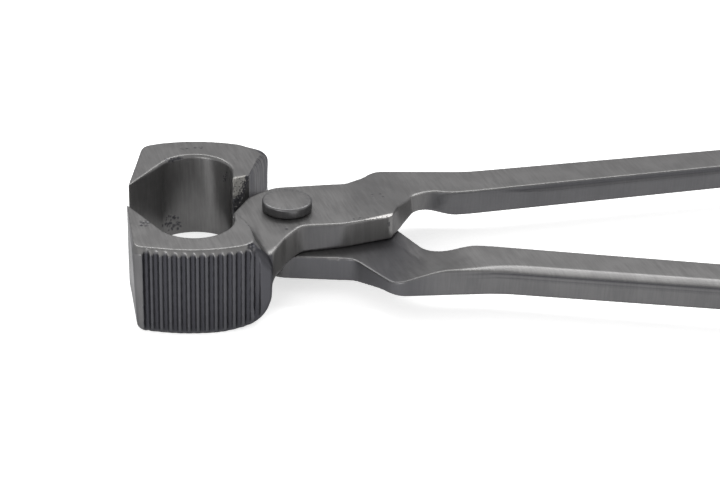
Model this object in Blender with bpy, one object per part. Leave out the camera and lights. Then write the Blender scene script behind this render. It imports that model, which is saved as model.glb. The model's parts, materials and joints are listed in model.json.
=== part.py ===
"""Crossing jaw spreader tongs: two equal forged halves turning on one headed rivet.

The upper half carries the front jaw and the rear rein, its lap plate lies above the middle plane.
The lower half is the same forging turned half a turn about the long axis. Both are drawn in the
slightly open pose. Lengths are in metres and +Z is up. X runs from the jaws to the reins.
"""

import math

import bmesh
import bpy
from mathutils import Matrix

# Rivet
HEAD_RADIUS = 0.0080
HEAD_HEIGHT = 0.0035
HEAD_RIM = 0.0006
TAIL_RADIUS = 0.0074
TAIL_HEIGHT = 0.0024
SHANK_RADIUS = 0.0042
SHANK_CLEARANCE = 0.00008
SEAT_GAP = 0.0003
ROUND_STEPS = 64

# Lap joint
LAP_THICKNESS = 0.0080
LAP_GAP = 0.0003

# Jaw block, in the plan of the upper half, measured from the pivot
JAW_HEIGHT = 0.0275
JAW_REACH = 0.0504
TIP_OFFSET = 0.0073
TIP_FLAT = 0.0006
JAW_SPREAD = 0.0407
FACE_LEAN = 0.0013
FACE_RADIUS = 0.0456
FACE_CENTRE_X = -0.0296
FACE_END_X = -0.0120
FACE_CHAMFER = 0.0011
NOSE_X = -0.0482
NOSE_Y = -0.0374
NOSE_REACH = 0.0072
NOSE_ROUND = 0.0070
THROAT_RADIUS = 0.0129
THROAT_DRAFT = 0.0007
THROAT_X = -0.0303
THROAT_Y = -0.0171
JAW_EDGE = 0.0005
HEEL_ROUND = 0.0042
HEEL_FADE = 0.0180

# End of the jaw block at the pivot: the low line beside the other plate and the top edge of the step
LOW_CORNER = (-0.0056, -0.0350)
LOW_TURN = (-0.0117, -0.0134)
LOW_INNER = (-0.0170, -0.0114)
TOP_CORNER = (-0.0068, -0.0360)
TOP_TURN = (-0.0130, -0.0208)
TOP_INNER = (-0.0170, -0.0122)
LOW_CORNER_ROUND = 0.0045
MID_CORNER_ROUND = 0.0022
TOP_CORNER_ROUND = 0.0048
LOW_TURN_ROUND = 0.0015
TOP_TURN_ROUND = 0.0045
FOOT_SPREAD = 0.35

# Grooved gripping face
GROOVE_COUNT = 13
GROOVE_FIRST_X = -0.0441
GROOVE_PITCH = 0.00277
GROOVE_WIDTH = 0.00185
GROOVE_ROOT = 0.00055
GROOVE_DEPTH = 0.0011
GROOVE_FADE = 3

# Shoulder and rein
REIN_REACH = 0.3046
REIN_THICKNESS = 0.0088
OUTER_SLOPE = 0.178
INNER_SLOPE = 0.196
TAPER_DIRECTION = math.radians(35.0)
THIN_START = 0.0235
THIN_END = 0.0450
LEVEL_START = 0.0455
LEVEL_END = 0.0630
ROOT_DRAFT = 0.0064
ROOT_START = -0.0085
ROOT_END = -0.0010
NECK_DRAFT = 0.0031
NECK_END = 0.0220
PLATE_DRAFT = 0.0010
CORNER_DRAFT = 0.0036
CORNER_DRAFT_START = 0.0330
CORNER_DRAFT_END = 0.0600
EDGE_ROUND = 0.0007
ROLL_START = 0.0400
ROLL_FULL = 0.0750
ROLL_WIDTH = 0.0036
ROLL_DROP = 0.0028
LEDGE = 0.0005
LEDGE_STEP = 0.0002
FINE_STATIONS_END = 0.0700
END_ROUND = 0.0060

MIDDLE = LAP_GAP / 2
LAP_TOP = MIDDLE + LAP_THICKNESS
JAW_TOP = JAW_HEIGHT / 2
REIN_HALF = REIN_THICKNESS / 2
TIP_X = -JAW_REACH
FACE_CENTRE_Y = FACE_RADIUS - JAW_SPREAD
TOOL_LENGTH = JAW_REACH + REIN_REACH

# Corners of the arm in plan: x, y and the corner's radius. The jaw block hides the first ones.
OUTER_CORNERS = (
    (-0.0171, -0.0020, 0.0),
    (-0.0118, 0.0095, 0.006),
    (-0.0035, 0.0163, 0.009),
    (0.0202, 0.0190, 0.006),
    (0.0315, 0.0361, 0.004),
    (0.0640, 0.0353, 0.050),
)
INNER_CORNERS = (
    (-0.0171, -0.0160, 0.0),
    (-0.0092, -0.0350, 0.0),
    (-0.0072, -0.0340, 0.003),
    (-0.0043, -0.0272, 0.010),
    (0.0036, -0.0146, 0.006),
    (0.0170, -0.0120, 0.020),
    (0.0336, -0.0060, 0.0006),
    (0.0428, 0.0120, 0.005),
    (0.0510, 0.0178, 0.008),
    (0.0640, 0.0196, 0.030),
)


def clear_scene():
    """Take every object out of the starting scene."""
    for item in list(bpy.data.objects):
        bpy.data.objects.remove(item, do_unlink=True)


def smooth(value, start, end):
    """Ease from 0 at start to 1 at end."""
    t = min(1.0, max(0.0, (value - start) / (end - start)))
    return t * t * (3.0 - 2.0 * t)


def mix(a, b, t):
    """Blend two numbers."""
    return a + (b - a) * t


def round_corner(before, corner, after, radius, steps):
    """Points of the arc that replaces a corner, or the corner itself."""
    cx, cy = corner
    ax, ay = before[0] - cx, before[1] - cy
    bx, by = after[0] - cx, after[1] - cy
    la, lb = math.hypot(ax, ay), math.hypot(bx, by)
    ax, ay, bx, by = ax / la, ay / la, bx / lb, by / lb
    half = math.acos(max(-1.0, min(1.0, ax * bx + ay * by))) / 2
    if radius <= 0.0 or half > math.radians(89.5):
        return [corner] * (steps + 1)
    reach = min(radius / math.tan(half), 0.48 * la, 0.48 * lb)
    points = []
    for i in range(steps + 1):
        t = i / steps
        u, v = reach * (1 - t) ** 2, reach * t**2
        points.append((cx + ax * u + bx * v, cy + ay * u + by * v))
    return points


def rounded_path(corners, steps):
    """Open path through corners given as x, y, radius."""
    points = [corners[0][:2]]
    for i in range(1, len(corners) - 1):
        x, y, radius = corners[i]
        points += round_corner(corners[i - 1][:2], (x, y), corners[i + 1][:2], radius, steps)
    return points + [corners[-1][:2]]


def height_at(path, x):
    """Y of a path that runs from left to right, at x."""
    for (x0, y0), (x1, y1) in zip(path, path[1:]):
        if x <= x1 and x1 > x0:
            return mix(y0, y1, max(0.0, (x - x0) / (x1 - x0)))
    return path[-1][1]


def new_object(name, mesh):
    """Link a mesh to the scene under a name."""
    item = bpy.data.objects.new(name, mesh)
    bpy.context.collection.objects.link(item)
    return item


def loft(name, rings):
    """Closed solid through rings of equal point count, capped at both ends."""
    bm = bmesh.new()
    loops = [[bm.verts.new(p) for p in ring] for ring in rings]
    count = len(loops[0])
    for low, high in zip(loops, loops[1:]):
        for i in range(count):
            j = (i + 1) % count
            bm.faces.new((low[i], low[j], high[j], high[i]))
    bm.faces.new(loops[0])
    bm.faces.new(loops[-1])
    bmesh.ops.remove_doubles(bm, verts=bm.verts, dist=1e-6)
    bmesh.ops.recalc_face_normals(bm, faces=bm.faces)
    mesh = bpy.data.meshes.new(name)
    bm.to_mesh(mesh)
    bm.free()
    return new_object(name, mesh)


def bake(item):
    """Replace an object's mesh by its modified shape."""
    graph = bpy.context.evaluated_depsgraph_get()
    mesh = bpy.data.meshes.new_from_object(item.evaluated_get(graph))
    item.modifiers.clear()
    item.data = mesh


def combine(item, other, operation):
    """Join or cut with another solid, then drop that solid."""
    modifier = item.modifiers.new(operation.lower(), "BOOLEAN")
    modifier.operation = operation
    modifier.solver = "EXACT"
    modifier.object = other
    bake(item)
    bpy.data.objects.remove(other, do_unlink=True)


def soften(item, width, angle):
    """Bevel the sharp edges of a solid."""
    modifier = item.modifiers.new("edges", "BEVEL")
    modifier.width = width
    modifier.segments = 2
    modifier.limit_method = "ANGLE"
    modifier.angle_limit = angle
    bake(item)


def face_y(x, inset=0.0):
    """Y of the gripping face's arc at x, moved into the jaw by inset."""
    return FACE_CENTRE_Y - math.sqrt((FACE_RADIUS - inset) ** 2 - (x - FACE_CENTRE_X) ** 2)


def mix_points(a, b, t):
    """Blend two plan points."""
    return (mix(a[0], b[0], t), mix(a[1], b[1], t))


def throat_arc(radius):
    """Wall of the throat from the pivot side round to where it runs straight to the tip."""
    to_tip = (TIP_X - THROAT_X, -TIP_OFFSET - THROAT_Y)
    tangent = math.acos(radius / math.hypot(*to_tip))
    start, stop = math.radians(2.0), math.atan2(to_tip[1], to_tip[0]) + tangent - 2 * math.pi
    angles = [mix(start, stop, i / 20) for i in range(21)]
    return [(THROAT_X + radius * math.cos(a), THROAT_Y + radius * math.sin(a)) for a in angles]


def jaw_outline(z):
    """Plan outline of the jaw block at height z."""
    side = smooth(z, 0.0, JAW_TOP)
    rise = min(1.0, max(0.0, (z - LAP_TOP) / (JAW_TOP - LAP_TOP)))
    step = 1.0 - (1.0 + FOOT_SPREAD) * (1 - math.sqrt(1 - (1 - rise) ** 2)) if z > MIDDLE else 0.0
    depth = min(1.0, max(0.0, (z + JAW_TOP) / HEEL_ROUND))
    heel = HEEL_ROUND * (1 - math.sqrt(1 - (1 - depth) ** 2))
    inset = max(0.0, abs(z) - JAW_TOP + FACE_CHAMFER) + FACE_LEAN * z / JAW_TOP
    corner = mix_points(LOW_CORNER, TOP_CORNER, side)
    corner = (corner[0] - heel - inset, corner[1] + heel + inset)
    turn = mix_points(LOW_TURN, TOP_TURN, step)
    inner = mix_points(LOW_INNER, TOP_INNER, step)
    points = [(TIP_X, -TIP_OFFSET), (TIP_X + TIP_FLAT / 3, -TIP_OFFSET - TIP_FLAT)]
    nose = (NOSE_X + inset * 0.5, NOSE_Y + inset)
    nose_end = NOSE_X + NOSE_REACH
    points += round_corner(points[-1], nose, (nose_end, face_y(nose_end, inset)), NOSE_ROUND, 6)
    for i in range(14):
        x = mix(nose_end, FACE_END_X, (i + 0.5) / 13.5)
        fade = smooth(x, FACE_END_X - HEEL_FADE, FACE_END_X)
        points.append((x, face_y(x, inset) + heel * fade * 0.5))
    corner_round = mix(MID_CORNER_ROUND, LOW_CORNER_ROUND, smooth(-z, 0.0, LAP_TOP))
    corner_round = mix(corner_round, TOP_CORNER_ROUND, smooth(z, LAP_TOP, JAW_TOP))
    turn_round = LOW_TURN_ROUND if z < MIDDLE else TOP_TURN_ROUND
    points += round_corner(points[-1], corner, turn, corner_round, 6)
    points += round_corner(corner, turn, inner, turn_round, 3)
    points.append(inner)
    return points + throat_arc(THROAT_RADIUS - THROAT_DRAFT * z / JAW_TOP)


def jaw_block():
    """Jaw with its throat, its step down to the plate and its rounded heel."""
    heights = [HEEL_ROUND * (1 - math.cos(i * math.pi / 10)) - JAW_TOP for i in range(6)]
    heights += [FACE_CHAMFER - JAW_TOP, 0.0, MIDDLE + LAP_GAP]
    heights += [mix(MIDDLE, LAP_TOP - LAP_GAP, i / 4) for i in range(1, 5)]
    heights += [mix(LAP_TOP, JAW_TOP, (1 - math.cos(i * math.pi / 12))) for i in range(7)]
    heights += [JAW_TOP - FACE_CHAMFER]
    heights = sorted(set(round(z, 7) for z in heights))
    block = loft("jaw", [[(x, y, z) for x, y in jaw_outline(z)] for z in heights])
    soften(block, JAW_EDGE, math.radians(50.0))
    return block


def groove_cutter():
    """All grooves of the gripping face as prisms that lean with it."""
    bm = bmesh.new()
    lean = FACE_LEAN * JAW_HEIGHT / JAW_TOP
    for k in range(GROOVE_COUNT):
        x = GROOVE_FIRST_X + k * GROOVE_PITCH
        left = GROOVE_COUNT - k
        depth = GROOVE_DEPTH * min(1.0, left / GROOVE_FADE)
        y = face_y(x)
        profile = (
            (x - GROOVE_ROOT / 2, y + depth),
            (x + GROOVE_ROOT / 2, y + depth),
            (x + GROOVE_WIDTH / 2, y),
            (x + GROOVE_WIDTH / 2, y - 2 * GROOVE_DEPTH),
            (x - GROOVE_WIDTH / 2, y - 2 * GROOVE_DEPTH),
            (x - GROOVE_WIDTH / 2, y),
        )
        low = [bm.verts.new((px, py - lean, -JAW_HEIGHT)) for px, py in profile]
        high = [bm.verts.new((px, py + lean, JAW_HEIGHT)) for px, py in profile]
        for i in range(len(profile)):
            j = (i + 1) % len(profile)
            bm.faces.new((low[i], low[j], high[j], high[i]))
        bm.faces.new(low)
        bm.faces.new(high)
    bmesh.ops.recalc_face_normals(bm, faces=bm.faces)
    mesh = bpy.data.meshes.new("grooves")
    bm.to_mesh(mesh)
    bm.free()
    return new_object("grooves", mesh)


def along(x, y):
    """Distance along the direction in which the shoulder thins."""
    return x * math.cos(TAPER_DIRECTION) + y * math.sin(TAPER_DIRECTION)


def top_height(x, y):
    """Height of the arm's upper face."""
    return mix(LAP_TOP, REIN_HALF, smooth(along(x, y), THIN_START, THIN_END))


def bottom_height(x, y):
    """Height of the arm's lower face."""
    return mix(MIDDLE, -REIN_HALF, smooth(along(x, y), LEVEL_START, LEVEL_END))


def draft(x):
    """How far the inner wall leans back between the middle plane and the upper face."""
    fade = smooth(x, LEVEL_START, CORNER_DRAFT_END)
    root = mix(ROOT_DRAFT, NECK_DRAFT, smooth(x, ROOT_START, ROOT_END))
    neck = mix(root, PLATE_DRAFT, smooth(x, ROOT_END, NECK_END)) * (1 - fade)
    corner = CORNER_DRAFT * smooth(x, CORNER_DRAFT_START, CORNER_DRAFT_START * 1.12) * (1 - fade)
    return neck + corner + LEDGE * fade


def arm_ring(x, outer_path, inner_path, shrink):
    """Section of the arm at x, from the inner top corner over the outer side and back."""
    outer, inner = height_at(outer_path, x), height_at(inner_path, x)
    centre = (outer + inner) / 2
    outer, inner = mix(centre, outer, shrink), mix(centre, inner, shrink)
    roll = smooth(x, ROLL_START, ROLL_FULL) * shrink
    lean, edge, ledge = draft(x) * shrink, EDGE_ROUND * shrink, LEDGE * roll
    high_in, high_out = top_height(x, inner + lean) * shrink, top_height(x, outer) * shrink
    low_in, low_out = bottom_height(x, inner) * shrink, bottom_height(x, outer) * shrink
    width, drop = mix(edge, ROLL_WIDTH, roll), mix(edge, ROLL_DROP, roll)
    wall = lean * (1 - mix(0.08, 1.0, roll))
    points = (
        (inner + lean + edge, high_in),
        (outer - edge, high_out),
        (outer - edge * 0.3, high_out - edge * 0.3),
        (outer, high_out - edge),
        (outer, low_out + drop),
        (outer - ledge, low_out + drop - LEDGE_STEP * shrink),
        (outer - mix(width * 0.1, width * 0.25, roll), low_out + drop * 0.45),
        (outer - width * 0.5, low_out + drop * 0.13),
        (outer - width, low_out),
        (inner + edge, low_in),
        (inner + edge * 0.3, low_in + edge * 0.3),
        (inner, low_in + edge),
        (inner + wall, high_in - drop),
        (inner + wall + ledge * 0.8, high_in - drop + LEDGE_STEP * shrink),
    )
    return [(x, y, z) for y, z in points]


def rein_end(corners, slope):
    """Corners of one side of the arm with the rein's straight run added."""
    x, y, _ = corners[-1]
    return corners + ((REIN_REACH, y + slope * (REIN_REACH - x), 0.0),)


def arm():
    """Lap plate, shoulder and rein as one bar lofted along its length."""
    outer_path = rounded_path(rein_end(OUTER_CORNERS, OUTER_SLOPE), 8)
    inner_path = rounded_path(rein_end(INNER_CORNERS, INNER_SLOPE), 8)
    start, straight_end = OUTER_CORNERS[0][0], REIN_REACH - END_ROUND
    stations = [mix(start, FINE_STATIONS_END, i / 84) for i in range(85)]
    stations += [mix(FINE_STATIONS_END, straight_end, i / 16) for i in range(1, 17)]
    rings = [arm_ring(x, outer_path, inner_path, 1.0) for x in stations]
    for i in range(1, 7):
        turn = i * math.pi / 12
        x = straight_end + END_ROUND * math.sin(turn)
        rings.append(arm_ring(x, outer_path, inner_path, mix(0.35, 1.0, math.cos(turn))))
    return loft("arm", rings)


def cylinder(name, radius, low, high):
    """Upright cylinder on the pivot axis."""
    bm = bmesh.new()
    turn = Matrix.Translation((0.0, 0.0, (low + high) / 2))
    bmesh.ops.create_cone(
        bm, cap_ends=True, segments=ROUND_STEPS, radius1=radius, radius2=radius, depth=high - low, matrix=turn
    )
    mesh = bpy.data.meshes.new(name)
    bm.to_mesh(mesh)
    bm.free()
    return new_object(name, mesh)


def upper_half():
    """Jaw, lap plate and rein forged in one piece, with grooves and rivet hole cut."""
    half = jaw_block()
    combine(half, groove_cutter(), "DIFFERENCE")
    combine(half, arm(), "UNION")
    combine(half, cylinder("hole", SHANK_RADIUS + SHANK_CLEARANCE, -JAW_TOP, JAW_TOP), "DIFFERENCE")
    half.name = "upper_tong_half"
    return half


def lower_half(upper):
    """The same forging turned half a turn about the long axis."""
    mesh = upper.data.copy()
    mesh.transform(Matrix.Rotation(math.pi, 4, "X"))
    return new_object("lower_tong_half", mesh)


def rivet():
    """Headed pin through both plates, its tail peened to a low dome."""
    head_base = LAP_TOP + SEAT_GAP
    profile = (
        (0.0, head_base + HEAD_HEIGHT),
        (HEAD_RADIUS - HEAD_RIM, head_base + HEAD_HEIGHT),
        (HEAD_RADIUS - HEAD_RIM * 0.3, head_base + HEAD_HEIGHT - HEAD_RIM * 0.3),
        (HEAD_RADIUS, head_base + HEAD_HEIGHT - HEAD_RIM),
        (HEAD_RADIUS, head_base),
        (SHANK_RADIUS, head_base),
        (SHANK_RADIUS, -head_base),
        (TAIL_RADIUS, -head_base),
        (TAIL_RADIUS, -head_base - TAIL_HEIGHT * 0.25),
        (TAIL_RADIUS * 0.85, -head_base - TAIL_HEIGHT * 0.7),
        (TAIL_RADIUS * 0.5, -head_base - TAIL_HEIGHT * 0.95),
        (0.0, -head_base - TAIL_HEIGHT),
    )
    bm = bmesh.new()
    verts = [bm.verts.new((r, 0.0, z)) for r, z in profile]
    edges = [bm.edges.new(pair) for pair in zip(verts, verts[1:])]
    bmesh.ops.spin(
        bm, geom=verts + edges, cent=(0, 0, 0), axis=(0, 0, 1), angle=2 * math.pi, steps=ROUND_STEPS, use_merge=True
    )
    bmesh.ops.remove_doubles(bm, verts=bm.verts, dist=1e-6)
    bmesh.ops.recalc_face_normals(bm, faces=bm.faces)
    mesh = bpy.data.meshes.new("pivot_rivet")
    bm.to_mesh(mesh)
    bm.free()
    return new_object("pivot_rivet", mesh)


def steel(name, colour, roughness):
    """Principled steel."""
    material = bpy.data.materials.new(name)
    material.use_nodes = True
    shader = material.node_tree.nodes["Principled BSDF"]
    shader.inputs["Base Color"].default_value = (*colour, 1.0)
    shader.inputs["Roughness"].default_value = roughness
    shader.inputs["Metallic"].default_value = 1.0
    return material


def finish(item, material, offset):
    """Place a piece in the shared frame, shade it smooth and give it its steel."""
    item.data.transform(Matrix.Translation(offset))
    item.data.materials.clear()
    item.data.materials.append(material)
    item.data.shade_smooth()
    item.data.set_sharp_from_angle(angle=math.radians(28.0))


def main():
    """Build the tongs with the base plane at z = 0 and the length centred on x = 0."""
    clear_scene()
    upper = upper_half()
    lower = lower_half(upper)
    pin = rivet()
    offset = (JAW_REACH - TOOL_LENGTH / 2, 0.0, JAW_TOP)
    finish(upper, steel("upper_steel", (0.36, 0.36, 0.37), 0.36), offset)
    finish(lower, steel("lower_steel", (0.36, 0.36, 0.37), 0.36), offset)
    finish(pin, steel("rivet_steel", (0.38, 0.38, 0.39), 0.3), offset)


main()
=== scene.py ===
"""Looks of the crossing jaw spreader tongs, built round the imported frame.

Two equal forged halves cross at one headed rivet. Each half is modelled once as a forging:
a jaw block drawn up from its plan, a lap plate and rein drawn along their length, gripping
grooves and a rivet hole cut in, and the edges rubbed down. Shapes are laid out in metres from
the pivot, X runs from the jaws to the reins and +Z is up, then moved to the frame's pivot.
"""

import json
import logging
import math
from dataclasses import dataclass, field
from enum import Enum

import bmesh
import bpy
import numpy as np
from mathutils import Matrix, Vector, noise


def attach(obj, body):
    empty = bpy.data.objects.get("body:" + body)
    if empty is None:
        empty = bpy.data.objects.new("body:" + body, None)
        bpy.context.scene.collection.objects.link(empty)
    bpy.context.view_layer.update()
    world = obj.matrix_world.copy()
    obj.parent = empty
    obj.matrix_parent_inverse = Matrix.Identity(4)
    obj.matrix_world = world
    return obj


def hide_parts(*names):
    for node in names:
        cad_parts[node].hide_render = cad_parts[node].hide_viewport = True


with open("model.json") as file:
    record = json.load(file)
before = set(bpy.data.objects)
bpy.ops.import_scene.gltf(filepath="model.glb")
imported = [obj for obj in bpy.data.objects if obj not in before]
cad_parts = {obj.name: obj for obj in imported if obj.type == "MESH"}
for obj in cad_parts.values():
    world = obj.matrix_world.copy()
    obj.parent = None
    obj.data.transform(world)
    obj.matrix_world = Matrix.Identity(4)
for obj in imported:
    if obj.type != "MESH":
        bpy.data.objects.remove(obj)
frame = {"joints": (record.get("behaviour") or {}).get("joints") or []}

LOG = logging.getLogger("tongs")
PIVOT = Vector(frame["joints"][0]["pos_m"])
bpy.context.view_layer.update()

Point = tuple[float, float]
Point3 = tuple[float, float, float]
Ring = list[Point3]

STRAIGHT = math.radians(89.5)
LONGEST_REACH = 0.48


class Body(Enum):
    """Moving bodies of the frame."""

    LOWER = "lower"
    UPPER = "upper"


class Slot(Enum):
    """Material slots of the record."""

    UPPER = "upper_steel"
    LOWER = "lower_steel"
    RIVET = "rivet_steel"


class Mask(Enum):
    """Masks that are painted on a piece's skin and read by its finish."""

    # hollow, flank and grip hold painted shade; soot holds black pits and painted shade; filed holds
    # filed flats and painted sheen
    EDGE_WEAR = "edge_wear"
    HOLLOW_SHADE = "hollow"
    FLANK_SHADE = "flank_shade"
    GRIP = "grip_shade"
    SCALE = "scale"
    CRUST = "crust"
    STRIA = "stria"
    SOOT_AND_SHADE = "soot_and_shade"
    FILED_AND_SHEEN = "filed"


def ease(value: float, start: float, end: float) -> float:
    """Eased share of the way from start to end, 0 before it and 1 behind it."""
    t = min(1.0, max(0.0, (value - start) / (end - start)))
    return t * t * (3.0 - 2.0 * t)


def mix(a: float, b: float, t: float) -> float:
    """Blend of two numbers, a where t is 0 and b where it is 1."""
    return a + (b - a) * t


def mix_points(a: Point, b: Point, t: float) -> Point:
    """Blend of two plan points, a where t is 0 and b where it is 1."""
    return (mix(a[0], b[0], t), mix(a[1], b[1], t))


def ramp(values: np.ndarray, start: float, end: float) -> np.ndarray:
    """Straight share of the way from start to end, 0 before it and 1 behind it."""
    return np.clip((values - start) / (end - start), 0.0, 1.0)


def quarter(z: float, edge: float, height: float) -> float:
    """Share of a quarter round's inset at z: 0 where it starts, 1 at its edge."""
    rise = min(1.0, max(0.0, (z - edge + height) / height))
    return 1.0 - math.sqrt(1.0 - rise**2)


def round_corner(
    before: Point, corner: Point, after: Point, radius: float, steps: int
) -> list[Point]:
    """Arc that replaces a corner of a plan.

    Args:
        before: point ahead of the corner.
        corner: the sharp corner.
        after: point behind the corner.
        radius: radius of the rounding, 0 for a sharp corner.
        steps: number of spans in the arc.

    Returns:
        steps + 1 points, all equal where the corner stays sharp.
    """
    cx, cy = corner
    ax, ay = before[0] - cx, before[1] - cy
    bx, by = after[0] - cx, after[1] - cy
    la, lb = math.hypot(ax, ay), math.hypot(bx, by)
    ax, ay, bx, by = ax / la, ay / la, bx / lb, by / lb
    half = math.acos(max(-1.0, min(1.0, ax * bx + ay * by))) / 2
    if radius <= 0.0 or half > STRAIGHT:
        return [corner] * (steps + 1)
    reach = min(radius / math.tan(half), LONGEST_REACH * la, LONGEST_REACH * lb)
    points = []
    for i in range(steps + 1):
        t = i / steps
        u, v = reach * (1 - t) ** 2, reach * t**2
        points.append((cx + ax * u + bx * v, cy + ay * u + by * v))
    return points


@dataclass
class PlanPath:
    """Open path in plan, through corners given as x, y and rounding radius."""

    corners: tuple[tuple[float, float, float], ...]
    steps: int = 12

    def points(self) -> list[Point]:
        """Points of the rounded path, from left to right.

        Returns:
            The points.
        """
        found = [self.corners[0][:2]]
        for i in range(1, len(self.corners) - 1):
            x, y, radius = self.corners[i]
            ahead, behind = self.corners[i - 1][:2], self.corners[i + 1][:2]
            found += round_corner(ahead, (x, y), behind, radius, self.steps)
        return found + [self.corners[-1][:2]]


def height_at(path: list[Point], x: float) -> float:
    """Y of a path that runs from left to right.

    Args:
        path: points of the path.
        x: where to read it.

    Returns:
        Y of the path at x.
    """
    for (x0, y0), (x1, y1) in zip(path, path[1:]):
        if x <= x1 and x1 > x0:
            return mix(y0, y1, max(0.0, (x - x0) / (x1 - x0)))
    return path[-1][1]


def focus(item: bpy.types.Object) -> None:
    """Make one object the only selected and the active one.

    Args:
        item: the object to work on.
    """
    bpy.ops.object.select_all(action="DESELECT")
    item.select_set(True)
    bpy.context.view_layer.objects.active = item


def draw_out(name: str, rings: list[Ring]) -> bpy.types.Object:
    """Closed solid drawn out of a filled circle, one extrusion for each ring.

    Args:
        name: name of the new object.
        rings: sections with equal point counts, in order.

    Returns:
        The new object.
    """
    bpy.ops.object.select_all(action="DESELECT")
    bpy.ops.mesh.primitive_circle_add(vertices=len(rings[0]), radius=0.01, fill_type="NGON")
    item = bpy.context.object
    item.name = name
    bpy.ops.object.mode_set(mode="EDIT")
    mesh = bmesh.from_edit_mesh(item.data)
    mesh.verts.ensure_lookup_table()
    order = list(range(len(rings[0])))
    for i, place in enumerate(rings[0]):
        mesh.verts[i].co = place
    for ring in rings[1:]:
        bpy.ops.mesh.extrude_region_move()
        mesh = bmesh.from_edit_mesh(item.data)
        mesh.verts.index_update()
        mesh.verts.ensure_lookup_table()
        fresh = []
        for index, place in zip(order, ring):
            new = next(
                other
                for edge in mesh.verts[index].link_edges
                if (other := edge.other_vert(mesh.verts[index])).select
            )
            new.co = place
            fresh.append(new.index)
        order = fresh
    bmesh.update_edit_mesh(item.data)
    bpy.ops.mesh.select_all(action="SELECT")
    bpy.ops.mesh.remove_doubles(threshold=1e-6)
    bpy.ops.mesh.normals_make_consistent(inside=False)
    bpy.ops.object.mode_set(mode="OBJECT")
    return item


def apply_modifier(item: bpy.types.Object, kind: str, **settings: object) -> None:
    """Add a modifier and apply it at once.

    Args:
        item: the object it works on.
        kind: the modifier's type.
        settings: the modifier's properties.
    """
    focus(item)
    modifier = item.modifiers.new(kind.lower(), kind)
    for key, value in settings.items():
        setattr(modifier, key, value)
    bpy.ops.object.modifier_apply(modifier=modifier.name)


def combine(item: bpy.types.Object, other: bpy.types.Object, operation: str) -> None:
    """Join or cut with another solid, then drop that solid.

    Args:
        item: the solid that stays.
        other: the solid that is used up.
        operation: UNION or DIFFERENCE.
    """
    apply_modifier(item, "BOOLEAN", operation=operation, solver="EXACT", object=other)
    bpy.data.objects.remove(other, do_unlink=True)


@dataclass
class LapJoint:
    """Levels shared by the plates, the jaws and the rivet."""

    thickness: float = 0.0080
    gap: float = 0.0003

    @property
    def middle(self) -> float:
        """Underside of the upper plate."""
        return self.gap / 2

    @property
    def top(self) -> float:
        """Upper face of the upper plate."""
        return self.middle + self.thickness


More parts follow.
